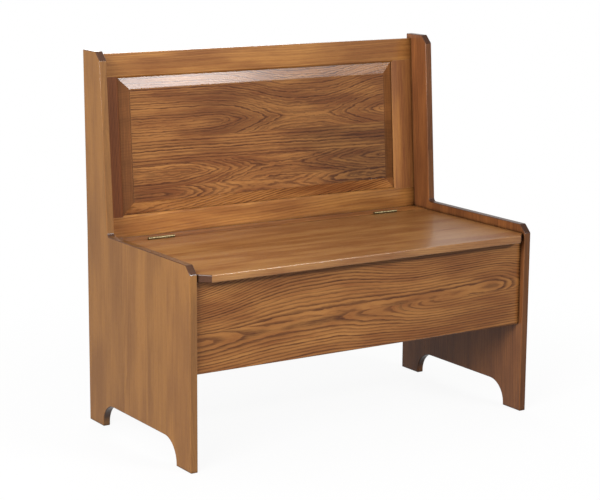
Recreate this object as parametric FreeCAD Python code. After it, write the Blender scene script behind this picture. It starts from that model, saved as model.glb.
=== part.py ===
import FreeCAD, Part
import math
import os

# Settle bench: two chair-profile end panels carry a storage box, a raked frame-and-panel back and a hinged lid.
# Millimetres, +Z up, the front faces -Y, and the origin is on the floor below the centre of the overall box.
# Depths are measured back from the end panels' front edge, and left is the left of someone facing the bench.

# Overall sizes and board thicknesses
width = 1026.0
height = 965.0
end_thickness = 20.0
board_thickness = 19.0
bottom_thickness = 12.0
ease = 1.5
housing_depth = 6.0
glue_gap = 0.1
tolerance = 0.01

# End panels
end_depth = 533.0
post_lean = 8.0
rake_angle = 4.0
arm_height = 504.5
arm_clip = 21.0
post_depth = 419.5
post_clip = 21.0
corner_cove = 10.0
front_foot = 71.0
rear_foot = 76.0
arch_height = 63.5
arch_cove = 58.0

# Seat lid and the fixed strip behind it
seat_height = 482.5
lid_thickness = 19.0
lid_overhang = 19.0
lid_clip = 27.0
lid_side_gap = 2.0
lid_rear_round = 3.0
hinge_depth = 432.0
hinge_joint_gap = 1.6
batten_width = 45.0
batten_thickness = 16.0
batten_inset = 170.0
batten_front_gap = 15.0
batten_rear_gap = 30.0
batten_chamfer = 8.0

# Storage box
front_setback = 15.0
box_base = 236.5
cleat_size = 19.0
bottom_gap = 1.0

# Raked back
back_depth = 488.0
back_drop = 12.0
foot_allowance = 38.0
stile_width = 66.5
top_rail_width = 63.5
bottom_rail_show = 56.5
sticking = 4.5
groove_setback = 6.3
groove_width = 6.4
groove_deep = 10.0
tongue_reach = 8.0
tongue_slack = 0.2
bevel_width = 30.0
field_step = 1.5

# Butt hinges
hinge_length = 76.0
hinge_inset = 103.0
knuckle_radius = 3.25
knuckle_count = 5
knuckle_gap = 0.2
leaf_thickness = 1.6
leaf_gap = 0.3
leaf_height = 15.0
mortise_room = 0.05
pin_radius = 1.6
pin_clearance = 0.05
screw_count = 3
screw_shank = 1.2
screw_sides = 8
screw_length = 14.0
screw_room = 0.05

# Places that follow from the sizes
overall_depth = lid_overhang + end_depth + post_lean
front = lid_overhang - overall_depth / 2
inner = width / 2 - end_thickness
housed = inner + housing_depth
slope = math.tan(math.radians(rake_angle))
hinge_y = front + hinge_depth
hinge_z = seat_height + knuckle_radius
lid_under = seat_height - lid_thickness
back_y = front + back_depth
box_front = front + front_setback
box_inside_front = box_front + board_thickness
box_inside_rear = back_y - lid_thickness * slope
back_length = (height - back_drop - seat_height) / math.cos(math.radians(rake_angle))
opening_low = bottom_rail_show
opening_high = back_length - top_rail_width
opening_half = inner - stile_width


def vec(x, y, z):
    return FreeCAD.Vector(x, y, z)


def block(x0, x1, y0, y1, z0, z1):
    return Part.makeBox(x1 - x0, y1 - y0, z1 - z0, vec(x0, y0, z0))


def rod(radius, x0, x1, y, z):
    return Part.makeCylinder(radius, x1 - x0, vec(x0, y, z), vec(1, 0, 0))


def mirrored(shape):
    return shape.mirror(vec(0, 0, 0), vec(1, 0, 0))


def raked(shape):
    """Leans a piece that was drawn upright, about the line where the back meets the seat's top."""
    turned = shape.copy()
    turned.rotate(vec(0, back_y, seat_height), vec(1, 0, 0), -rake_angle)
    return turned


def edges_at(shape, places):
    """The edges along X that pass through the given (y, z) places."""
    found = []
    for edge in shape.Edges:
        box = edge.BoundBox
        for y, z in places:
            off_y = max(abs(box.YMin - y), abs(box.YMax - y))
            off_z = max(abs(box.ZMin - z), abs(box.ZMax - z))
            if box.XLength > tolerance and max(off_y, off_z) < tolerance:
                found.append(edge)
    return found


def rim_edges(shape):
    """The edges of the two flat sides that face along X."""
    return [edge for edge in shape.Edges if edge.BoundBox.XLength < tolerance]


def with_housed_ends(middle, ends):
    """A board between the end panels, plus the square ends that go into their housings."""
    between = block(-inner, inner, -height, height, -height, 2 * height)
    return middle.fuse(ends.cut(between)).removeSplitter()


# End panels

def end_outline():
    """The chair profile as (y, z) corners, from the front foot round to the rear foot."""
    post_top = height - post_clip
    post_front = front + post_depth
    post_front_top = post_front + (post_top - arm_height) * slope
    rear = front + end_depth
    return [
        (front, 0),
        (front, arm_height - arm_clip),
        (front + arm_clip, arm_height),
        (post_front, arm_height),
        (post_front_top, post_top),
        (post_front_top + post_clip, height),
        (rear + post_lean, height),
        (rear, arm_height),
        (rear, 0),
    ]


def arch_cutter():
    """The opening between the feet, with a cove against each foot."""
    y0 = front + front_foot
    y1 = front + end_depth - rear_foot
    cutter = block(-width, width, y0, y1, -arch_height, arch_height)
    corners = edges_at(cutter, [(y0, arch_height), (y1, arch_height)])
    return cutter.makeFillet(arch_cove, corners)


def housings():
    """The shallow recesses in the left end panel that the box's two walls and the raked back go into.

    Each board bears on one side of its recess and has the glue gap on the other side and at its end.
    """
    x0 = -housed - glue_gap
    rear = box_inside_rear + board_thickness
    front_wall = block(x0, 0, box_front, box_inside_front + glue_gap, box_base, lid_under)
    rear_wall = block(x0, 0, box_inside_rear - glue_gap, rear, box_base, lid_under)
    back = raked(back_block(x0, 0, 0, board_thickness + glue_gap, -foot_allowance, back_length))
    return [front_wall, rear_wall, back.cut(below_back())]


def end_panel():
    """The left end panel. The right one is its mirror image."""
    corners = end_outline()
    points = [vec(-width / 2, y, z) for y, z in corners + corners[:1]]
    board = Part.Face(Part.makePolygon(points)).extrude(vec(end_thickness, 0, 0))
    board = board.makeFillet(corner_cove, edges_at(board, corners[3:4]))
    board = board.cut(arch_cutter())
    clipped = corners[1:3] + corners[4:7]
    board = board.makeChamfer(ease, rim_edges(board) + edges_at(board, clipped))
    return board.cut(housings())


# Raked back, drawn upright with its front face at back_y and its foot line at the seat's top

def back_block(x0, x1, v0, v1, w0, w1):
    """A box in the back's own directions: v is the depth behind its face and w the height above the seat."""
    return block(x0, x1, back_y + v0, back_y + v1, seat_height + w0, seat_height + w1)


def sticking_cutter(half, w, up):
    """The bevel along a rail's inner edge: the rail lies above the edge if up is 1 and below it if up is -1."""
    y = back_y
    z = seat_height + w
    corner = [
        vec(-half, y, z),
        vec(-half, y + sticking, z),
        vec(-half, y, z + up * sticking),
        vec(-half, y, z),
    ]
    return Part.Face(Part.makePolygon(corner)).extrude(vec(2 * half, 0, 0))


def rail_blank(w0, w1, edge, up):
    """A full-width rail with its bevel but no groove."""
    return back_block(-housed, housed, 0, board_thickness, w0, w1).cut(sticking_cutter(housed, edge, up))


def rail_groove(edge, up):
    low = min(edge, edge + up * groove_deep)
    high = max(edge, edge + up * groove_deep)
    return back_block(-housed, housed, groove_setback, groove_setback + groove_width, low, high)


def top_rail_blank():
    return rail_blank(opening_high, back_length, opening_high, 1)


def bottom_rail_blank():
    """It runs down behind the fixed strip, so that it can stand on the box's back."""
    return rail_blank(-foot_allowance, opening_low, opening_low, -1)


def below_back():
    """The space under the back's foot, which is cut level where it stands on the box's rear wall."""
    return block(-width, width, 0, front + end_depth, lid_under - foot_allowance, lid_under)


def back_top_rail():
    rail = top_rail_blank().cut(rail_groove(opening_high, 1))
    top = seat_height + back_length
    eased = rail.makeFillet(ease, edges_at(rail, [(back_y, top), (back_y + board_thickness, top)]))
    middle = eased.common(block(-inner, inner, back_y, back_y + board_thickness, seat_height, top))
    return raked(with_housed_ends(middle, rail))


def back_bottom_rail():
    rail = bottom_rail_blank().cut(rail_groove(opening_low, -1))
    return raked(rail).cut(below_back())


def back_stile():
    """The left stile: its ends are cut over the rails' bevels and carry stub tenons for their grooves."""
    low = opening_low - sticking
    high = opening_high + sticking
    stile = back_block(-housed, -opening_half, 0, board_thickness, low, high)
    bevel = [
        vec(-opening_half, back_y, seat_height),
        vec(-opening_half - sticking, back_y, seat_height),
        vec(-opening_half, back_y + sticking, seat_height),
        vec(-opening_half, back_y, seat_height),
    ]
    stile = stile.cut(Part.Face(Part.makePolygon(bevel)).extrude(vec(0, 0, back_length)))
    stile = stile.cut(top_rail_blank()).cut(bottom_rail_blank())
    tenon_front = groove_setback + tongue_slack
    tenon_back = groove_setback + groove_width - tongue_slack
    reach = groove_deep - tongue_slack
    low = opening_low - reach
    high = opening_high + reach
    tenons = back_block(-housed, -opening_half, tenon_front, tenon_back, low, high)
    groove = back_block(
        -opening_half - groove_deep,
        -opening_half,
        groove_setback,
        groove_setback + groove_width,
        -back_length,
        2 * back_length,
    )
    stile = stile.fuse(tenons).cut(groove).removeSplitter()
    return raked(stile)


def panel_rectangle(inset, v):
    """A rectangle set in from the frame's opening by inset, at depth v."""
    half = opening_half - inset
    low = seat_height + opening_low + inset
    high = seat_height + opening_high - inset
    y = back_y + v
    return Part.makePolygon([
        vec(-half, y, low),
        vec(half, y, low),
        vec(half, y, high),
        vec(-half, y, high),
        vec(-half, y, low),
    ])


def raised_back_panel():
    """The field is level with the frame's face, a small step above its bevels, and the tongue floats."""
    tongue_front = groove_setback + tongue_slack
    tongue_thickness = groove_width - 2 * tongue_slack
    tongue = Part.Face(panel_rectangle(-tongue_reach, tongue_front)).extrude(vec(0, tongue_thickness, 0))
    foot = panel_rectangle(0, tongue_front)
    bevels = Part.makeLoft([foot, panel_rectangle(bevel_width, field_step)], True)
    field = Part.Face(panel_rectangle(bevel_width, 0)).extrude(vec(0, field_step, 0))
    return raked(tongue.fuse([bevels, field]).removeSplitter())


# Storage box

def front_panel():
    board = block(-housed, housed, box_front, box_inside_front, box_base, lid_under)
    middle = block(-inner, inner, box_front, box_inside_front, box_base, lid_under)
    middle = middle.makeChamfer(ease, edges_at(middle, [(box_front, box_base)]))
    return with_housed_ends(middle, board)


def box_back_panel():
    return block(-housed, housed, box_inside_rear, box_inside_rear + board_thickness, box_base, lid_under)


def box_bottom_panel():
    low = box_base + cleat_size
    y0 = box_inside_front + bottom_gap
    y1 = box_inside_rear - bottom_gap
    return block(-inner + bottom_gap, inner - bottom_gap, y0, y1, low, low + bottom_thickness)


def front_bottom_cleat():
    y1 = box_inside_front + cleat_size
    return block(-inner, inner, box_inside_front, y1, box_base, box_base + cleat_size)


def rear_bottom_cleat():
    y0 = box_inside_rear - cleat_size
    return block(-inner, inner, y0, box_inside_rear, box_base, box_base + cleat_size)


def left_bottom_cleat():
    y0 = box_inside_front + cleat_size
    y1 = box_inside_rear - cleat_size
    return block(-inner, -inner + cleat_size, y0, y1, box_base, box_base + cleat_size)


def left_seat_cleat():
    low = lid_under - cleat_size
    return block(-inner, -inner + cleat_size, box_inside_front, box_inside_rear, low, lid_under)


def hinge_rail_ledger():
    """The strip's rear edge rests on this bar."""
    y0 = box_inside_rear - cleat_size
    half = inner - cleat_size
    return block(-half, half, y0, box_inside_rear, lid_under - cleat_size, lid_under)


# Seat

def leaf_mortises(side):
    """Recesses for the hinge leaves: side is -1 in the lid's rear edge and 1 in the strip's front edge."""
    cuts = []
    outer = hinge_y + side * (leaf_gap + leaf_thickness + mortise_room)
    low = seat_height - leaf_height - mortise_room
    for x in hinge_centres():
        half = hinge_length / 2 + mortise_room
        y0 = min(outer, hinge_y)
        y1 = max(outer, hinge_y)
        cuts.append(block(x - half, x + half, y0, y1, low, seat_height + knuckle_radius))
    return cuts


def hinge_rail():
    """The fixed strip behind the lid, bevelled where it meets the raked back."""
    front_edge = hinge_y + hinge_joint_gap / 2
    board = block(-inner, inner, front_edge, back_y + lid_thickness, lid_under, seat_height)
    board = board.cut(raked(back_block(-width, width, 0, height, -height, height)))
    board = board.makeChamfer(ease, edges_at(board, [(front_edge, seat_height)]))
    return drilled(board.cut(leaf_mortises(1)), 1)


def seat_lid():
    """The front corners are clipped and every edge that a hand meets is eased."""
    half = inner - lid_side_gap
    y0 = front - lid_overhang
    y1 = hinge_y - hinge_joint_gap / 2
    outline = [
        (-half, y0 + lid_clip),
        (-half + lid_clip, y0),
        (half - lid_clip, y0),
        (half, y0 + lid_clip),
        (half, y1),
        (-half, y1),
    ]
    points = [vec(x, y, lid_under) for x, y in outline + outline[:1]]
    board = Part.Face(Part.makePolygon(points)).extrude(vec(0, 0, lid_thickness))
    rear_top = edges_at(board, [(y1, seat_height)])
    board = board.makeFillet(lid_rear_round, rear_top)
    rim = [edge for edge in board.Edges if edge.BoundBox.ZLength < tolerance]
    eased = [edge for edge in rim if edge.BoundBox.YMin < y1 - lid_rear_round - tolerance]
    board = board.makeChamfer(ease, eased)
    return drilled(board.cut(leaf_mortises(-1)), -1)


def lid_left_batten():
    """A bar across the grain under the lid keeps the wide board flat."""
    x0 = -inner + batten_inset
    y0 = box_inside_front + batten_front_gap
    y1 = hinge_y - batten_rear_gap
    batten = block(x0, x0 + batten_width, y0, y1, lid_under - batten_thickness, lid_under)
    ends = edges_at(batten, [(y0, lid_under - batten_thickness), (y1, lid_under - batten_thickness)])
    return batten.makeChamfer(batten_chamfer, ends)


# Butt hinges

def hinge_centres():
    centre = inner - hinge_inset - hinge_length / 2
    return [-centre, centre]


def knuckle_spans(x, first):
    """The (start, end) along X of every second knuckle, beginning with the one numbered first."""
    pitch = hinge_length / knuckle_count
    start = x - hinge_length / 2
    spans = []
    for i in range(first, knuckle_count, 2):
        room_before = knuckle_gap / 2 if i > 0 else 0
        room_after = knuckle_gap / 2 if i < knuckle_count - 1 else 0
        spans.append((start + i * pitch + room_before, start + (i + 1) * pitch - room_after))
    return spans


def hinge_leaf(x, side, first):
    """A plate let into the wood's edge, with a tab up to each of its knuckles: side is -1 on the lid."""
    near = hinge_y + side * leaf_gap
    far = near + side * leaf_thickness
    y0 = min(near, far)
    y1 = max(near, far)
    half = hinge_length / 2
    leaf = block(x - half, x + half, y0, y1, seat_height - leaf_height, seat_height - knuckle_gap)
    for x0, x1 in knuckle_spans(x, first):
        tab = block(x0, x1, y0, y1, seat_height - leaf_height, hinge_z)
        leaf = leaf.fuse([tab, rod(knuckle_radius, x0, x1, hinge_y, hinge_z)])
    leaf = leaf.cut(rod(pin_radius + pin_clearance, x - half, x + half, hinge_y, hinge_z))
    return drilled(leaf.removeSplitter(), side)


def hinge_pin(x):
    return rod(pin_radius, x - hinge_length / 2, x + hinge_length / 2, hinge_y, hinge_z)


def screw_places(side):
    """Where the heads of both leaves' screws lie, on the face that the leaf turns to the joint."""
    y = hinge_y + side * leaf_gap
    z = seat_height - leaf_height / 2
    pitch = hinge_length / screw_count
    places = []
    for x in hinge_centres():
        for i in range(screw_count):
            places.append(vec(x - hinge_length / 2 + pitch * (i + 0.5), y, z))
    return places


def shank(at, side):
    """A screw's body without its thread, as a prism with few sides that is tight in the wood."""
    corners = []
    for i in range(screw_sides + 1):
        turn = 2 * math.pi * i / screw_sides
        corners.append(at + vec(screw_shank * math.cos(turn), 0, screw_shank * math.sin(turn)))
    return Part.Face(Part.makePolygon(corners)).extrude(vec(0, side * screw_length, 0))


def screw(at, side, room=0.0):
    """A screw whose countersunk head is as deep as the leaf, or with room the hole that it sits in."""
    tip = screw_shank + room
    head = Part.makeCone(tip + leaf_thickness, tip, leaf_thickness, at, vec(0, side, 0))
    return head.fuse(shank(at, side)).removeSplitter()


def drilled(shape, side):
    """The shape with a hole for each hinge screw on that side of the joint."""
    return shape.cut([screw(at, side, screw_room) for at in screw_places(side)])


def hinge_screws(side):
    return Part.makeCompound([screw(at, side) for at in screw_places(side)])


def parts():
    left_x, right_x = hinge_centres()
    left_panel = end_panel()
    stile = back_stile()
    seat_cleat = left_seat_cleat()
    bottom_cleat = left_bottom_cleat()
    batten = lid_left_batten()
    return {
        "left_end_panel": left_panel,
        "right_end_panel": mirrored(left_panel),
        "front_panel": front_panel(),
        "box_back_panel": box_back_panel(),
        "box_bottom_panel": box_bottom_panel(),
        "front_bottom_cleat": front_bottom_cleat(),
        "rear_bottom_cleat": rear_bottom_cleat(),
        "left_bottom_cleat": bottom_cleat,
        "right_bottom_cleat": mirrored(bottom_cleat),
        "left_seat_cleat": seat_cleat,
        "right_seat_cleat": mirrored(seat_cleat),
        "hinge_rail": hinge_rail(),
        "hinge_rail_ledger": hinge_rail_ledger(),
        "back_top_rail": back_top_rail(),
        "back_bottom_rail": back_bottom_rail(),
        "back_left_stile": stile,
        "back_right_stile": mirrored(stile),
        "raised_back_panel": raised_back_panel(),
        "seat_lid": seat_lid(),
        "lid_left_batten": batten,
        "lid_right_batten": mirrored(batten),
        "left_hinge_fixed_leaf": hinge_leaf(left_x, 1, 0),
        "right_hinge_fixed_leaf": hinge_leaf(right_x, 1, 0),
        "left_hinge_lid_leaf": hinge_leaf(left_x, -1, 1),
        "right_hinge_lid_leaf": hinge_leaf(right_x, -1, 1),
        "left_hinge_pin": hinge_pin(left_x),
        "right_hinge_pin": hinge_pin(right_x),
        "hinge_fixed_screws": hinge_screws(1),
        "hinge_lid_screws": hinge_screws(-1),
    }


os.makedirs("parts", exist_ok=True)
for name, shape in parts().items():
    if not shape.isValid() or not shape.Solids:
        raise ValueError(name + " isn't a valid solid")
    shape.exportStep("parts/" + name + ".step")
    print(name, len(shape.Solids), round(shape.Volume / 1000, 1), "cm3")
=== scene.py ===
import bpy
import math
import random
from mathutils import Matrix, Vector
from types import SimpleNamespace

# Settle bench in stained oak. Metres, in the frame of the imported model: +Z up and the front faces -Y.
# Grain is drawn in millimetres, in each board's own directions: u along the grain, v across the board's
# width and w through its thickness.

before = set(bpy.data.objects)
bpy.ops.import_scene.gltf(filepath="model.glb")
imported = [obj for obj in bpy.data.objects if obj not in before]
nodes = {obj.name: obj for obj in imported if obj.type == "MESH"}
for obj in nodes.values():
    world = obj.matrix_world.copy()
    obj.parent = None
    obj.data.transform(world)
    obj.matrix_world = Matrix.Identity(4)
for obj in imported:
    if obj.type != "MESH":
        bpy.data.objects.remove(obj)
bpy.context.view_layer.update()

# Camera, from a fit of the bench's corners to the photograph
CAMERA_PLACE = Vector((-2.58296, -3.92826, 1.40347))
CAMERA_AZIMUTH = math.radians(-32.930)
CAMERA_ELEVATION = math.radians(11.529)
CAMERA_ROLL = math.radians(0.407)
CAMERA_LENS = 110.90
CAMERA_SENSOR = 36.0

# The raked back leans about this line
RAKE = math.radians(4.0)
RAKE_LINE = Vector((0, 0.227, 0.4825))

# Where the faces that count as the boards' surface lie, in millimetres
FRONT_FACE = -246
BACK_FACE = 227
SEAT_TOP = 482.5
LEFT_OUTER_FACE = -513
RIGHT_INNER_FACE = 493

MILLIMETRES = 1000.0
SCREEN_WHITE = 255


def srgb(red, green, blue):
    """A colour as it looks on screen, 0 to 255, as the linear one that shaders use."""
    def linear(value):
        value /= SCREEN_WHITE
        return value / 12.92 if value <= 0.04045 else ((value + 0.055) / 1.055) ** 2.4
    return (linear(red), linear(green), linear(blue), 1.0)


class Graph:
    """Short calls that add nodes to the node tree of one material or world."""

    def __init__(self, owner):
        owner.use_nodes = True
        self.tree = owner.node_tree
        self.tree.nodes.clear()

    def add(self, kind, inputs=None, **settings):
        made = self.tree.nodes.new(kind)
        for name, value in settings.items():
            setattr(made, name, value)
        for name, value in (inputs or {}).items():
            self.put(made.inputs[name], value)
        return made

    def put(self, socket, value):
        if isinstance(value, bpy.types.NodeSocket):
            self.tree.links.new(value, socket)
        elif value is not None:
            socket.default_value = value

    def math(self, operation, first, second=None, third=None, clamp=False):
        inputs = {0: first, 1: second, 2: third}
        return self.add("ShaderNodeMath", inputs, operation=operation, use_clamp=clamp).outputs[0]

    def vector(self, operation, first, second=None):
        return self.add("ShaderNodeVectorMath", {0: first, 1: second}, operation=operation).outputs[0]

    def dot(self, first, second):
        made = self.add("ShaderNodeVectorMath", {0: first, 1: second}, operation="DOT_PRODUCT")
        return made.outputs["Value"]

    def join(self, x, y, z):
        return self.add("ShaderNodeCombineXYZ", {0: x, 1: y, 2: z}).outputs[0]

    def split(self, vector):
        return self.add("ShaderNodeSeparateXYZ", {0: vector}).outputs

    def noise(self, vector, detail=2.0, roughness=0.5):
        """Noise of cell size 1 in the given coordinates: its value and its three-part colour."""
        inputs = {"Vector": vector, "Scale": 1.0, "Detail": detail, "Roughness": roughness}
        made = self.add("ShaderNodeTexNoise", inputs)
        return made.outputs[0], made.outputs[1]

    def ramp(self, value, low, high, start=0.0, end=1.0, smooth=True):
        """Goes from start to end while value goes from low to high."""
        made = self.add("ShaderNodeMapRange", {0: value, 1: low, 2: high, 3: start, 4: end})
        made.interpolation_type = "SMOOTHSTEP" if smooth else "LINEAR"
        return made.outputs[0]

    def blend(self, factor, first, second, kind="FLOAT"):
        """Mixes two numbers or two colours."""
        made = self.add("ShaderNodeMix", data_type=kind)
        place = {"FLOAT": (0, 2, 3, 0), "RGBA": (0, 6, 7, 2)}[kind]
        for socket, value in zip(place[:3], (factor, first, second)):
            self.put(made.inputs[socket], value)
        return made.outputs[place[3]]

    def cells(self, parts, cell):
        """Grain coordinates divided by a cell's length along the grain and its width across it."""
        along, across = cell
        return self.vector("DIVIDE", self.join(*parts), (along, across, across))

    def object_millimetres(self):
        place = self.add("ShaderNodeTexCoord").outputs["Object"]
        return self.vector("MULTIPLY", place, (MILLIMETRES,) * 3)

    def edge_sharpness(self, normal, radius):
        """1 on a flat face and less within the radius of an edge."""
        rounded = self.add("ShaderNodeBevel", {"Radius": radius}, samples=4)
        return self.dot(rounded.outputs[0], normal)


# Boards

PLAIN_BOARD = {
    "edge": 0, "pith": 0, "lean": 0, "depth": 20, "point": 2, "spacing": 6, "shift": 0, "tone": 1,
    "swells": (), "fans": (), "shades": (),
}


def board(**values):
    """One board of a glued-up piece, from its lower edge at the height edge to the next board's.

    The pith line lies at the height pith where u is 0 and climbs by lean. It is depth behind the face, and
    each swell (from, to, rise) takes it deeper between two places along u. Each fan (from, to, factor) draws
    the rings together across the board. A point below 2 sharpens the arches, and the rings are spacing
    apart. The shift moves the noise, and tone is the board's own shade of colour. Each (from, to, factor) in
    the list after fans makes the board lighter or darker along u: partly the wood's tone, and partly painted
    light and shade for the lamps falling off across the bench.
    """
    return SimpleNamespace(**(PLAIN_BOARD | values))


def random_boards(
    seed, low, high, count, spacing, pith=(140, 260), depth=(60, 160), tone=1.0, spread=0.06, shades=(),
):
    """Glued boards from low to high. Far from their piths the grain is nearly straight."""
    draw = random.Random(seed)
    width = (high - low) / count
    made = []
    for i in range(count):
        side = draw.choice((-1, 1))
        made.append(board(
            edge=low + width * (i + draw.uniform(-0.12, 0.12)),
            pith=low + width * (i + 0.5) + side * draw.uniform(*pith),
            lean=draw.uniform(-0.02, 0.02),
            depth=draw.uniform(*depth),
            swells=[(-500, 500, draw.uniform(-40, 40))],
            shift=draw.uniform(0, 4000),
            tone=tone * (1 + draw.uniform(-spread, spread)),
            spacing=spacing * draw.uniform(0.85, 1.2),
            shades=shades,
        ))
    return made


def by_board(g, v, boards, value):
    """Picks each board's own value by the height v."""
    chosen = value(boards[0])
    for one in boards[1:]:
        chosen = g.blend(g.math("GREATER_THAN", v, one.edge), chosen, value(one))
    return chosen


def board_tone(g, one, u):
    """The shade of a board, which may change along it, partly as painted light and shade."""
    tone = one.tone
    for start, end, factor in one.shades:
        tone = g.math("MULTIPLY", tone, g.ramp(u, start, end, 1.0, factor))
    return tone


# For each way that a piece's grain may run: which of x, y and z are u, v and w, and the broad face's normal
GRAIN_ORDER = {
    "length": (0, 2, 1),
    "seat": (0, 1, 2),
    "upright": (2, 1, 0),
    "upright_face": (2, 0, 1),
    "depth": (1, 0, 2),
}
BROAD_FACES = {
    "length": (0, 1, 0),
    "seat": (0, 0, 1),
    "upright": (1, 0, 0),
    "upright_face": (0, 1, 0),
    "depth": (0, 0, 1),
}
RAKED_UP = (0, math.sin(RAKE), math.cos(RAKE))


def board_directions(g, look):
    """The grain coordinates u, v, w in millimetres."""
    place = g.object_millimetres()
    if look.raked:
        line = RAKE_LINE * MILLIMETRES
        turn = g.add("ShaderNodeVectorRotate", {"Vector": place, "Center": line, "Angle": RAKE})
        turn.rotation_type = "X_AXIS"
        place = turn.outputs[0]
    parts = g.split(place)
    return [parts[i] for i in GRAIN_ORDER[look.along]]


def grain_direction(look):
    """The way of the grain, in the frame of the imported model."""
    if look.along in ("length", "seat"):
        return (1, 0, 0)
    if look.along == "depth":
        return (0, 1, 0)
    return RAKED_UP if look.raked else (0, 0, 1)


# Oak. A name that ends in _RAMP holds what Graph.ramp takes after its value: low and high, then start and
# end where they aren't 0 and 1. One that ends in _RANGE holds low and high, and the look sets the ends.

GOLDEN = srgb(168, 115, 62)
HONEY = srgb(176, 122, 64)
TAWNY = srgb(124, 71, 35)
EARLYWOOD = srgb(72, 38, 20)
END_GRAIN = srgb(78, 44, 26)
# Arris colour: partly wear through the stain, partly a painted highlight along the edges.
WORN_AND_HIGHLIGHT = srgb(206, 156, 100)

# Cells of noise, in millimetres along and across the grain
SLOW_CELL = (300, 110)
QUICK_CELL = (48, 11)
STREAK_CELL = (55, 2.4)
PORE_CELL = (14, 0.7)
PATCH_CELL = (240, 45)
SAWN_CELL = (70, 2.2)

# How far slow and quick waves move a ring, in millimetres across the board and in depth
SLOW_ASIDE = 9.0
QUICK_ASIDE = 2.25
SLOW_DEPTH = 10.8
QUICK_DEPTH = 4.5

# A ring starts dark and fades, rings differ, and so do groups of years
DARK_START = 0.10
NEXT_RING_RAMP = (0.88, 0.97)
ODD_RING_RAMP = (0, 1, 0.55, 1.0)
YEARS_PER_RING = 0.31
YEARS_RAMP = (0.32, 0.64)
YEARS_TOP = 1.08

# Pores and streaks
PORES_RAMP = (0.52, 0.70)
STREAKS_RAMP = (0.30, 0.62, 0.62, 1.0)
PORE_STAIN = 0.16
RING_STAIN = 0.80
PORE_DEPTH = 0.22
PORE_DEPTH_IN_DARK = 0.55
RING_DEPTH = 0.25

# Warmth, the share of the darker of a piece's two colours
PATCH_WARMTH_RAMP = (0.32, 0.68)
STREAK_WARMTH_RAMP = (0.25, 0.75, -0.3, 0.3)
MARKS_WARMTH = 0.65
YEARS_WARMTH = 0.35
SLANT_WARMTH = 0.65

# What changes as a face turns from lying along the grain, 0, to cutting square across it, 1
SLANT_STAIN_RAMP = (0.06, 0.20, 1.0, 0.08)
SLANT_WARMTH_RAMP = (0.06, 0.18)
SLANT_SAWN_RAMP = (0.04, 0.18)
SLANT_BUMP_RAMP = (0.06, 0.20, 0.35, 0.10)
SLANT_END_RAMP = (0.04, 0.40, 0.0, 0.90)
SQUARE_END_RAMP = (0.85, 0.97)

# Saw marks, arrises lighter by wear and a painted highlight, painted shade in corners, patches, and painted
# light and shade on narrow faces and on faces that look down
SAWN_RAMP = (0.35, 0.65, 0.84, 1.08)
ARRIS_RADIUS = 0.0018
ARRIS_RAMP = (0.80, 0.99, 1.0, 0.0)
CORNER_REACH = 0.012
CORNER_SHADE_RAMP = (0.40, 0.82, 0.78, 0.0)
PATCH_SHADE_RANGE = (0.30, 0.70)
PATCH_DARKER = 1.5
NARROW_FACE_LIGHT_RANGE = (0.2, 0.8)
DOWNWARD_FACE_LIGHT_RANGE = (-0.18, -0.10)

# Surface
PATCH_ROUGHNESS = 0.5
ROUGHNESS_RAMP = (0.1, 1.2, 0.36, 0.60)
BUMP_DISTANCE = 0.00025
OAK_IOR = 1.45
OAK_SPECULAR = 0.08
COAT_ROUGHNESS = 0.18
COAT_RANGE = (0.93, 0.99)

PLAIN_LOOK = {
    "face": 0, "raked": False, "jagged": 1.0, "cell": QUICK_CELL, "band": (0.48, 0.84), "swing": 0.5,
    "contrast": 1.0, "light": GOLDEN, "mid": TAWNY, "patchy": 0.07, "end_share": 0.80, "worn": 0.4,
    "edges": 1, "under": 1, "coat": 0.28, "edge_coat": None,
}


def oak(name, along, boards, **values):
    """Stained oak under satin lacquer.

    Growth rings are rounded shells about each board's pith line, so that a board whose pith line sinks or
    rises shows arches and one whose pith line is far away shows straight lines.

    face: where w is the surface, from which the pith's depth counts.
    raked: whether the piece leans with the back.
    jagged, cell: how much and over which cells the rings wave quickly.
    band: the dark part of a ring fades out at a share of its width between these two.
    swing, contrast: how much groups of years differ, and how dark the rings are.
    light, mid: the wood's two colours.
    patchy: how far broad patches are darker or lighter.
    end_share: the share of the end grain's own colour on square ends.
    worn: how far the arrises take the lighter worn colour, which is partly wear and partly a painted
    highlight.
    edges, under: the factors by which narrow faces, and faces that look down, are lighter or darker: painted
    light and shade.
    coat, edge_coat: the lacquer on broad faces, and on narrow faces and arrises if they have their own.
    """
    look = SimpleNamespace(**(PLAIN_LOOK | values), along=along)
    material = bpy.data.materials.new(name)
    g = Graph(material)
    grain = grain_places(g, look, boards)
    face = face_turns(g, look)
    marks = wood_marks(g, grain)
    rings = growth_rings(g, look, boards, grain)
    dark = g.math("MULTIPLY", rings.dark, g.ramp(marks.streaks, *STREAKS_RAMP))
    ring_stain = g.math("MULTIPLY", dark, RING_STAIN * look.contrast)
    stain = g.math("MULTIPLY_ADD", marks.pores, PORE_STAIN, ring_stain, clamp=True)
    stain = g.math("MULTIPLY", stain, g.ramp(face.cross, *SLANT_STAIN_RAMP))
    wood = wood_colour(g, look, face, marks, rings, stain)
    shade = wood_shade(g, look, boards, grain, face, marks)
    wood = g.add("ShaderNodeVectorMath", {0: wood, "Scale": shade}, operation="SCALE").outputs[0]
    lacquered(g, look, face, marks, dark, stain, wood)
    return material


def grain_places(g, look, boards):
    """The grain coordinates, and moved: the same with each board's own shift, for noise."""
    u, v, w = board_directions(g, look)
    shift = by_board(g, v, boards, lambda one: one.shift)
    moved = (g.math("ADD", u, shift), g.math("ADD", v, shift), w)
    return SimpleNamespace(u=u, v=v, w=w, shift=shift, moved=moved)


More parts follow.
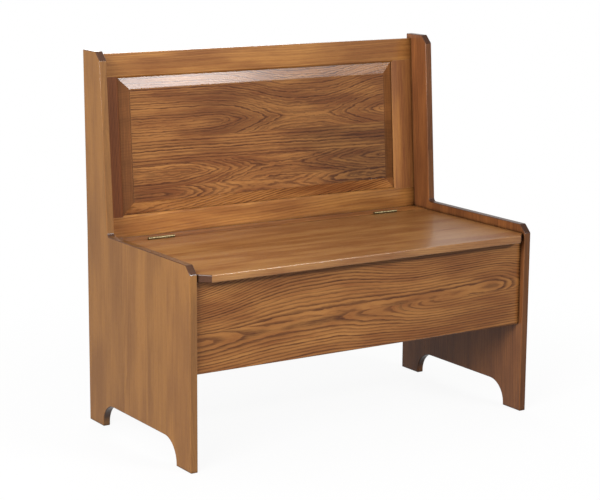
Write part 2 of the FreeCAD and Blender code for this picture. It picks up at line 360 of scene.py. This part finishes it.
def face_turns(g, look):
    """Where the face looks, and two values from 0 to 1.

    normal is in the world's directions and local in the piece's own. cross is how far the face cuts across
    the grain, and broad how far it is the board's broad face.
    """
    normal = g.add("ShaderNodeNewGeometry").outputs["Normal"]
    spaces = {"vector_type": "NORMAL", "convert_from": "WORLD", "convert_to": "OBJECT"}
    local = g.add("ShaderNodeVectorTransform", {0: normal}, **spaces).outputs[0]
    cross = g.math("ABSOLUTE", g.dot(local, grain_direction(look)))
    broad = g.math("ABSOLUTE", g.dot(local, BROAD_FACES[look.along]))
    return SimpleNamespace(normal=normal, local=local, cross=cross, broad=broad)


def wood_marks(g, grain):
    """Pores, from 0 to 1, and the noises of streaks and of broad patches."""
    pores = g.ramp(g.noise(g.cells(grain.moved, PORE_CELL), 1.0)[0], *PORES_RAMP)
    streaks = g.noise(g.cells(grain.moved, STREAK_CELL), 3.0, 0.6)[0]
    patches = g.noise(g.cells(grain.moved, PATCH_CELL), 2.0)[0]
    return SimpleNamespace(pores=pores, streaks=streaks, patches=patches)


def waves(g, grain, cell, detail):
    """Three noises about 0."""
    colour = g.noise(g.cells(grain.moved, cell), detail)[1]
    return g.split(g.vector("SUBTRACT", colour, (0.5, 0.5, 0.5)))


def ring_number(g, look, one, grain, slow, quick):
    """How many growth rings lie between a board's pith line and the place."""
    aside = g.math("SUBTRACT", grain.v, g.math("MULTIPLY_ADD", grain.u, one.lean, one.pith))
    aside = g.math("MULTIPLY_ADD", slow[0], SLOW_ASIDE, aside)
    aside = g.math("MULTIPLY_ADD", quick[0], QUICK_ASIDE * look.jagged, aside)
    for start, end, factor in one.fans:
        aside = g.math("MULTIPLY", aside, g.ramp(grain.u, start, end, 1.0, factor))
    below = g.math("ADD", g.math("SUBTRACT", grain.w, look.face), one.depth)
    for start, end, rise in one.swells:
        below = g.math("ADD", below, g.ramp(grain.u, start, end, 0.0, rise))
    below = g.math("MULTIPLY_ADD", slow[1], SLOW_DEPTH, below)
    below = g.math("MULTIPLY_ADD", quick[1], QUICK_DEPTH * look.jagged, below)
    aside = g.math("POWER", g.math("ABSOLUTE", aside), one.point)
    below = g.math("POWER", g.math("ABSOLUTE", below), one.point)
    reach = g.math("POWER", g.math("ADD", aside, below), 1.0 / one.point)
    return g.math("DIVIDE", reach, one.spacing)


def growth_rings(g, look, boards, grain):
    """How dark the place is within its ring, and how dark its group of years is, both 0 to 1."""
    slow = waves(g, grain, SLOW_CELL, 1.0)
    quick = waves(g, grain, look.cell, 2.0)
    rings = by_board(g, grain.v, boards, lambda one: ring_number(g, look, one, grain, slow, quick))
    ring = g.math("FLOOR", rings)
    part = g.math("SUBTRACT", rings, ring)
    number = g.math("ADD", ring, grain.shift)
    odd = g.add("ShaderNodeTexWhiteNoise", {"W": number}, noise_dimensions="1D").outputs[0]
    fade = g.ramp(odd, 0, 1, *look.band, smooth=False)
    dark = g.math("SUBTRACT", 1.0, g.ramp(part, DARK_START, fade))
    dark = g.math("MAXIMUM", dark, g.ramp(part, *NEXT_RING_RAMP))
    when = g.math("MULTIPLY_ADD", rings, YEARS_PER_RING, grain.shift)
    years = g.add("ShaderNodeTexNoise", {"W": when}, noise_dimensions="1D").outputs[0]
    years = g.ramp(years, *YEARS_RAMP)
    dark = g.math("MULTIPLY", dark, g.ramp(odd, *ODD_RING_RAMP, smooth=False))
    dark = g.math("MULTIPLY", dark, g.math("MULTIPLY_ADD", years, look.swing, YEARS_TOP - look.swing))
    return SimpleNamespace(dark=dark, years=years)


def wood_colour(g, look, face, marks, rings, stain):
    """The colour before shade: two woods, stained rings, end grain and worn arrises."""
    streaky = g.ramp(marks.streaks, *STREAK_WARMTH_RAMP)
    warmth = g.math("ADD", g.ramp(marks.patches, *PATCH_WARMTH_RAMP), streaky)
    warmth = g.math("MULTIPLY", warmth, MARKS_WARMTH)
    warmth = g.math("MULTIPLY_ADD", rings.years, YEARS_WARMTH, warmth, clamp=True)
    warmth = g.blend(g.ramp(face.cross, *SLANT_WARMTH_RAMP), warmth, SLANT_WARMTH)
    wood = g.blend(warmth, look.light, look.mid, "RGBA")
    wood = g.blend(stain, wood, EARLYWOOD, "RGBA")
    slanting = g.ramp(face.cross, *SLANT_END_RAMP)
    end = g.blend(g.ramp(face.cross, *SQUARE_END_RAMP), slanting, look.end_share)
    wood = g.blend(end, wood, END_GRAIN, "RGBA")
    # Arrises turn the lighter worn colour: partly wear, partly a painted highlight.
    arris = g.ramp(g.edge_sharpness(face.normal, ARRIS_RADIUS), *ARRIS_RAMP)
    return g.blend(g.math("MULTIPLY", arris, look.worn), wood, WORN_AND_HIGHLIGHT, "RGBA")


def wood_shade(g, look, boards, grain, face, marks):
    """The factor for the colour: tone, saw marks, patches, and painted light and shade in corners and on
    faces.
    """
    tone = by_board(g, grain.v, boards, lambda one: board_tone(g, one, grain.u))
    sawn = g.noise(g.cells((grain.v, grain.u, grain.w), SAWN_CELL), 2.0)[0]
    sawn = g.blend(g.ramp(face.cross, *SLANT_SAWN_RAMP), 1.0, g.ramp(sawn, *SAWN_RAMP))
    # Painted shade: darker in corners and crevices, as far as ambient occlusion finds them.
    corner = g.add("ShaderNodeAmbientOcclusion", {"Distance": CORNER_REACH}, samples=6).outputs["AO"]
    corner_unshaded = g.math("SUBTRACT", 1.0, g.ramp(corner, *CORNER_SHADE_RAMP))
    shade = g.math("MULTIPLY", g.math("MULTIPLY", tone, sawn), corner_unshaded)
    lighter, darker = 1 + look.patchy, 1 - PATCH_DARKER * look.patchy
    shade = g.math("MULTIPLY", shade, g.ramp(marks.patches, *PATCH_SHADE_RANGE, lighter, darker))
    # Painted light and shade: narrow faces lighter or darker by edges, and faces that look down lighter by
    # under.
    shade = g.math("MULTIPLY", shade, g.ramp(face.broad, *NARROW_FACE_LIGHT_RANGE, look.edges, 1.0))
    if look.under != 1:
        upward = g.dot(face.local, RAKED_UP)
        shade = g.math("MULTIPLY", shade, g.ramp(upward, *DOWNWARD_FACE_LIGHT_RANGE, look.under, 1.0))
    return shade


def lacquered(g, look, face, marks, dark, stain, wood):
    """The surface: open pores and sunken earlywood under a thin satin coat."""
    depth = g.math("MULTIPLY_ADD", dark, PORE_DEPTH_IN_DARK, PORE_DEPTH)
    depth = g.math("MULTIPLY", marks.pores, depth)
    height = g.math("MULTIPLY_ADD", depth, -1.0, g.math("MULTIPLY", dark, -RING_DEPTH))
    strength = g.ramp(face.cross, *SLANT_BUMP_RAMP)
    bump = g.add("ShaderNodeBump", {"Height": height, "Strength": strength, "Distance": BUMP_DISTANCE})
    rough = g.math("ADD", stain, g.math("MULTIPLY", marks.patches, PATCH_ROUGHNESS))
    shader = g.add("ShaderNodeBsdfPrincipled", {
        "Base Color": wood,
        "Roughness": g.ramp(rough, *ROUGHNESS_RAMP),
        "Normal": bump.outputs[0],
        "IOR": OAK_IOR,
        "Specular IOR Level": OAK_SPECULAR,
        "Coat Weight": look.coat,
        "Coat Roughness": COAT_ROUGHNESS,
    })
    if look.edge_coat:
        g.put(shader.inputs["Coat Weight"], g.ramp(face.broad, *COAT_RANGE, look.edge_coat, look.coat))
    g.add("ShaderNodeOutputMaterial", {"Surface": shader.outputs[0]})


# Metal

CLOUD_CELL = (6, 6, 6)
SCRATCH_CELL = (9, 0.35, 0.35)
TARNISH_RAMP = (0.35, 0.65)
METAL_ARRIS_RADIUS = 0.0006
METAL_ARRIS_RAMP = (0.85, 0.99, 0.6, 0.0)
METAL_ROUGHNESS_RAMP = (0.3, 0.7, 0.26, 0.46)
SCRATCH_STRENGTH = 0.2
SCRATCH_DEPTH = 0.0001


def antique_brass(name, colour, tarnish):
    """Brass that has darkened unevenly, with fine scratches and brighter edges."""
    material = bpy.data.materials.new(name)
    g = Graph(material)
    place = g.object_millimetres()
    cloud = g.noise(g.vector("DIVIDE", place, CLOUD_CELL), 4.0, 0.6)[0]
    scratch = g.noise(g.vector("DIVIDE", place, SCRATCH_CELL), 2.0)[0]
    normal = g.add("ShaderNodeNewGeometry").outputs["Normal"]
    worn = g.ramp(g.edge_sharpness(normal, METAL_ARRIS_RADIUS), *METAL_ARRIS_RAMP)
    mottled = g.blend(g.ramp(cloud, *TARNISH_RAMP), colour, tarnish, "RGBA")
    mottled = g.blend(worn, mottled, colour, "RGBA")
    scratches = {"Height": scratch, "Strength": SCRATCH_STRENGTH, "Distance": SCRATCH_DEPTH}
    bump = g.add("ShaderNodeBump", scratches)
    shader = g.add("ShaderNodeBsdfPrincipled", {
        "Base Color": mottled,
        "Metallic": 1.0,
        "Roughness": g.ramp(cloud, *METAL_ROUGHNESS_RAMP),
        "Normal": bump.outputs[0],
    })
    g.add("ShaderNodeOutputMaterial", {"Surface": shader.outputs[0]})
    return material


# The pieces' materials

# The front boards darken towards the right: partly the wood's own tone, partly painted shade for the light
# falling off.
FRONT_TONE_AND_PAINTED_SHADE = [(-150, 400, 0.82)]
FRONT_BOARDS = [
    board(
        pith=327, lean=0.03, depth=40, point=1.6, spacing=6.6, shift=120,
        swells=[(-470, -250, 8), (-110, 40, -13), (20, 250, -32)], shades=FRONT_TONE_AND_PAINTED_SHADE,
    ),
    board(
        edge=336, pith=335, lean=0.036, depth=26, point=1.7, spacing=5.0, shift=240,
        swells=[(400, 520, 16)], fans=[(-520, -200, 0.60), (-80, 200, 1.5)], shades=FRONT_TONE_AND_PAINTED_SHADE,
    ),
]
# The field's boards darken towards the right: painted shade for the light falling off across the panel,
# besides the boards' own tone and a darker patch of wood in the top board.
FIELD_BOARDS = [
    board(pith=640, lean=0.22, depth=30, spacing=6.2, shift=410, tone=0.96),
    board(
        edge=568, pith=584, depth=6, point=1.5, spacing=6.6, shift=700, tone=1.05,
        swells=[(-330, -40, 44), (60, 300, -30)], shades=[(100, 300, 0.58)],
    ),
    board(
        edge=602, pith=637, depth=2, point=1.2, spacing=6.2, shift=1900, tone=1.05,
        swells=[(-280, 30, 56), (60, 420, -40)], shades=[(0, 300, 0.58)],
    ),
    board(
        edge=662, pith=560, depth=60, spacing=7.5, shift=2600, tone=1.02,
        swells=[(-500, 500, 20)], shades=[(0, 200, 0.66)],
    ),
    board(
        edge=728, pith=765, depth=3, point=1.25, spacing=6.2, shift=3100, tone=1.05,
        swells=[(-170, 100, 56), (180, 450, -56)], shades=[(-330, -80, 0.84)],
    ),
]
END_PITH = (60, 120)
END_DEPTH = (40, 90)
RAIL_MID = srgb(148, 92, 46)
RIGHT_MID = srgb(132, 82, 50)


def give(material, *names):
    for name in names:
        nodes[name].data.materials.clear()
        nodes[name].data.materials.append(material)


def dress_box():
    front = oak(
        "oak_front", "length", FRONT_BOARDS,
        face=FRONT_FACE, contrast=1.12, band=(0.38, 0.72), swing=0.25, mid=srgb(142, 86, 44),
    )
    give(front, "front_panel")
    inside = oak("oak_inside", "length", random_boards(41, 230, 470, 2, 4.2), contrast=0.7)
    give(inside, "box_back_panel", "front_bottom_cleat", "rear_bottom_cleat", "hinge_rail_ledger")
    bottom = oak("oak_bottom", "seat", random_boards(43, -230, 230, 4, 4.2), contrast=0.7)
    give(bottom, "box_bottom_panel")
    crosswise = oak("oak_crosswise", "depth", random_boards(47, -500, 500, 5, 4.0), contrast=0.7)
    give(crosswise, "left_bottom_cleat", "right_bottom_cleat", "left_seat_cleat", "right_seat_cleat")
    give(crosswise, "lid_left_batten", "lid_right_batten")


def dress_back():
    # Painted light on the raised panel: edges, a low end_share and worn make the narrow step faces and
    # arrises pale as a highlight, and under lightens the bevel that looks down.
    field = oak(
        "oak_field", "length", FIELD_BOARDS,
        face=BACK_FACE, raked=True, jagged=2.0, cell=(30, 8), contrast=1.2, band=(0.42, 0.80),
        end_share=0.3, worn=0.6, edges=1.6, under=1.2, edge_coat=0.55,
    )
    give(field, "raised_back_panel")
    # The top rail darkens towards the right: painted shade for the light falling off.
    top_rail = oak(
        "oak_top_rail", "length",
        random_boards(3, 880, 950, 1, 5.5, tone=0.98, spread=0, shades=[(-100, 450, 0.86)]),
        face=BACK_FACE, raked=True, contrast=0.35, light=HONEY, mid=RAIL_MID, edge_coat=0.9,
    )
    give(top_rail, "back_top_rail")
    # The bottom rail's high tone is painted light, and its darkening to the right is painted shade.
    bottom_rail = oak(
        "oak_bottom_rail", "length",
        random_boards(5, 440, 540, 1, 5.5, tone=1.16, spread=0, shades=[(-300, 400, 0.67)]),
        face=BACK_FACE, raked=True, contrast=0.45, light=HONEY, mid=RAIL_MID,
    )
    give(bottom_rail, "back_bottom_rail")
    left_stile = oak(
        "oak_left_stile", "upright_face", random_boards(8, -500, -420, 1, 4.4, tone=1.2, spread=0),
        face=BACK_FACE, raked=True, light=TAWNY,
    )
    give(left_stile, "back_left_stile")
    right_stile = oak(
        "oak_right_stile", "upright_face", random_boards(9, 420, 500, 1, 4.6),
        face=BACK_FACE, raked=True, contrast=0.35, mid=RIGHT_MID,
    )
    give(right_stile, "back_right_stile")


def dress_seat():
    # The lid darkens from left to right: painted light falling off across it.
    lid = oak(
        "oak_lid", "seat", random_boards(21, -280, 172, 5, 4.4, tone=0.91, shades=[(-420, 150, 0.82)]),
        face=SEAT_TOP, contrast=0.3, light=srgb(180, 130, 76), mid=srgb(146, 91, 48), patchy=0.03,
        coat=0.14, edge_coat=0.6,
    )
    give(lid, "seat_lid")
    strip = oak("oak_strip", "seat", random_boards(24, 170, 230, 1, 4.4), face=SEAT_TOP)
    give(strip, "hinge_rail")


def dress_ends():
    left = oak(
        "oak_left_end", "upright", random_boards(31, -262, 282, 5, 5.5, END_PITH, END_DEPTH, tone=0.96),
        face=LEFT_OUTER_FACE, contrast=0.2, light=HONEY, mid=srgb(160, 108, 60), end_share=0.4,
        edges=0.72, coat=0.12, edge_coat=0.5,
    )
    give(left, "left_end_panel")
    # The right end is a darker copy of the same oak, with darker narrow faces: painted shade. Its upper part
    # is lighter: painted light.
    right = oak(
        "oak_right_end", "upright",
        random_boards(35, -262, 282, 5, 5.5, END_PITH, END_DEPTH, tone=0.90, shades=[(560, 930, 1.3)]),
        face=RIGHT_INNER_FACE, contrast=0.5, light=srgb(158, 102, 58), mid=RIGHT_MID,
        edges=0.5, edge_coat=0.2,
    )
    give(right, "right_end_panel")


def dress_metal():
    brass = antique_brass("brass", srgb(156, 142, 106), srgb(84, 72, 50))
    for side in ("left", "right"):
        give(brass, side + "_hinge_fixed_leaf", side + "_hinge_lid_leaf", side + "_hinge_pin")
    screws = antique_brass("screw_brass", srgb(165, 140, 96), srgb(96, 76, 50))
    give(screws, "hinge_fixed_screws", "hinge_lid_screws")


dress_box()
dress_back()
dress_seat()
dress_ends()
dress_metal()


# Edges. They are rounded by modifiers, which leave each piece's own corners and faces as they are.

WELD_DISTANCE = 1e-5
FLAT_ANGLE = math.radians(0.5)
SHARP_ANGLE = math.radians(18)
FIELD_SHARP_ANGLE = math.radians(7)
WOOD_EDGE = 0.0006
FIELD_EDGE = 0.0010
METAL_EDGE = 0.00015
LID_FRONT_EDGE = 0.0020

# The lid's upper chamfer ends between these two heights, and it is rounded more only in front of this place
LID_FRONT_LINE = (0.480, 0.482)
LID_FRONT_END = -0.20

# Pieces with short edges, whose rounding has to stay smaller
SMALL_EDGES = ("seat_lid", "back_top_rail", "front_panel", "hinge_rail")


def join_faces(thing):
    """Joins the corners and the flat triangles that the frame's meshes keep apart."""
    if "custom_normal" in thing.data.attributes:
        thing.data.attributes.remove(thing.data.attributes["custom_normal"])
    thing.data.shade_smooth()
    weld = thing.modifiers.new("weld", "WELD")
    weld.merge_threshold = WELD_DISTANCE
    flat = thing.modifiers.new("flat", "DECIMATE")
    flat.decimate_type = "DISSOLVE"
    flat.angle_limit = FLAT_ANGLE


def add_bevel(thing, width, segments, limit, clamp):
    bevel = thing.modifiers.new("bevel", "BEVEL")
    bevel.width = width
    bevel.segments = segments
    bevel.harden_normals = True
    bevel.limit_method = limit
    bevel.use_clamp_overlap = clamp
    return bevel


def round_edges(thing, width, sharpest=SHARP_ANGLE, segments=2, clamp=True):
    """Rounds every edge that turns by more than the angle sharpest."""
    add_bevel(thing, width, segments, "ANGLE", clamp).angle_limit = sharpest


def ease_lid_front(thing):
    """Rounds the lid's upper front edge more than the others, as hands and sandpaper do."""
    low, high = LID_FRONT_LINE
    line = [one.index for one in thing.data.vertices if low < one.co.z < high and one.co.y < LID_FRONT_END]
    group = thing.vertex_groups.new(name="eased")
    group.add(line, 1.0, "REPLACE")
    add_bevel(thing, LID_FRONT_EDGE, 6, "VGROUP", False).vertex_group = group.name


for name, thing in nodes.items():
    join_faces(thing)
    if name == "raised_back_panel":
        round_edges(thing, FIELD_EDGE, sharpest=FIELD_SHARP_ANGLE)
    elif "hinge_" in name and "hinge_rail" not in name:
        round_edges(thing, METAL_EDGE)
    else:
        if name == "seat_lid":
            ease_lid_front(thing)
        round_edges(thing, WOOD_EDGE, segments=3, clamp=name in SMALL_EDGES)


# Studio

WHITE = (1, 1, 1, 1)
FLOOR_REACH = 30.0
FLOOR_SEEN = (0.86, 0.86, 0.86, 1)
FLOOR_LIGHTING = (0.32, 0.32, 0.32, 1)
FLOOR_GLOW_RAMP = (0.6, 1.7, 0.92, 1.0)
AMBIENT = 0.22
BENCH_MIDDLE = (0, 0, 0.5)


def seen_directly(g):
    """1 for what the camera, gloss or glass sees, and 0 for the light that falls on things."""
    path = g.add("ShaderNodeLightPath").outputs
    seen = g.math("MAXIMUM", path["Is Camera Ray"], path["Is Glossy Ray"])
    return g.math("MAXIMUM", seen, path["Is Transmission Ray"])


def floor_white():
    """White as seen, and near the bench it lets a little of its own shading through for the shadow.

    It throws little light back up, as a floor further from the lamps would.
    """
    material = bpy.data.materials.new("floor_white")
    g = Graph(material)
    place = g.add("ShaderNodeTexCoord").outputs["Object"]
    away = g.add("ShaderNodeVectorMath", {0: place}, operation="LENGTH").outputs["Value"]
    seen = seen_directly(g)
    glowing = g.math("MULTIPLY", seen, g.ramp(away, *FLOOR_GLOW_RAMP))
    matt = g.add("ShaderNodeBsdfDiffuse", {"Color": g.blend(seen, FLOOR_LIGHTING, FLOOR_SEEN, "RGBA")})
    glow = g.add("ShaderNodeEmission", {"Color": WHITE, "Strength": 1.0})
    both = g.add("ShaderNodeMixShader", {0: glowing, 1: matt.outputs[0], 2: glow.outputs[0]})
    g.add("ShaderNodeOutputMaterial", {"Surface": both.outputs[0]})
    return material


def make_floor():
    reach = FLOOR_REACH
    corners = [(-reach, -reach, 0), (reach, -reach, 0), (reach, reach, 0), (-reach, reach, 0)]
    mesh = bpy.data.meshes.new("floor")
    mesh.from_pydata(corners, [], [(0, 1, 2, 3)])
    mesh.materials.append(floor_white())
    floor = bpy.data.objects.new("floor", mesh)
    bpy.context.collection.objects.link(floor)


def make_world():
    world = bpy.data.worlds.new("studio")
    bpy.context.scene.world = world
    g = Graph(world)
    strength = g.blend(seen_directly(g), AMBIENT, 1.0)
    background = g.add("ShaderNodeBackground", {"Color": WHITE, "Strength": strength})
    g.add("ShaderNodeOutputWorld", {"Surface": background.outputs[0]})


def softbox(name, place, target, width, height, power):
    """A rectangular soft light that faces the target."""
    lamp = bpy.data.lights.new(name, "AREA")
    lamp.shape = "RECTANGLE"
    lamp.size = width
    lamp.size_y = height
    lamp.energy = power
    light = bpy.data.objects.new(name, lamp)
    bpy.context.collection.objects.link(light)
    light.location = place
    light.rotation_euler = (Vector(target) - Vector(place)).to_track_quat("-Z", "Y").to_euler()


def make_lamps():
    """The key is narrow, so that it makes the bright band along the raised panel's upper bevel."""
    softbox("key", (1.53, -3.41, 2.17), BENCH_MIDDLE, 1.30, 0.27, 82)
    softbox("key_edge", (2.60, -3.25, 2.15), BENCH_MIDDLE, 1.10, 0.40, 15)
    softbox("side", (-3.9, -2.3, 2.6), BENCH_MIDDLE, 2.4, 2.0, 188)
    softbox("overhead", (-0.6, 0.4, 3.3), (0, 0, 0.4), 2.4, 2.0, 26)
    softbox("rear", (1.2, 4.0, 2.2), (0, 0.3, 0.5), 2.4, 2.0, 80)


def camera_axes():
    """The camera's right, up and back, rolled."""
    side, lift, roll = CAMERA_AZIMUTH, CAMERA_ELEVATION, CAMERA_ROLL
    back = Vector((math.sin(side) * math.cos(lift), -math.cos(side) * math.cos(lift), math.sin(lift)))
    right = Vector((0, 0, 1)).cross(back).normalized()
    up = back.cross(right)
    rolled_right = right * math.cos(roll) + up * math.sin(roll)
    rolled_up = up * math.cos(roll) - right * math.sin(roll)
    return rolled_right, rolled_up, back


def make_camera():
    right, up, back = camera_axes()
    lens = bpy.data.cameras.new("camera")
    lens.lens = CAMERA_LENS
    lens.sensor_width = CAMERA_SENSOR
    lens.sensor_fit = "HORIZONTAL"
    camera = bpy.data.objects.new("camera", lens)
    bpy.context.collection.objects.link(camera)
    camera.matrix_world = Matrix((
        (right.x, up.x, back.x, CAMERA_PLACE.x),
        (right.y, up.y, back.y, CAMERA_PLACE.y),
        (right.z, up.z, back.z, CAMERA_PLACE.z),
        (0, 0, 0, 1),
    ))
    bpy.context.scene.camera = camera


make_floor()
make_world()
make_lamps()
make_camera()
bpy.context.scene.view_settings.view_transform = "Standard"
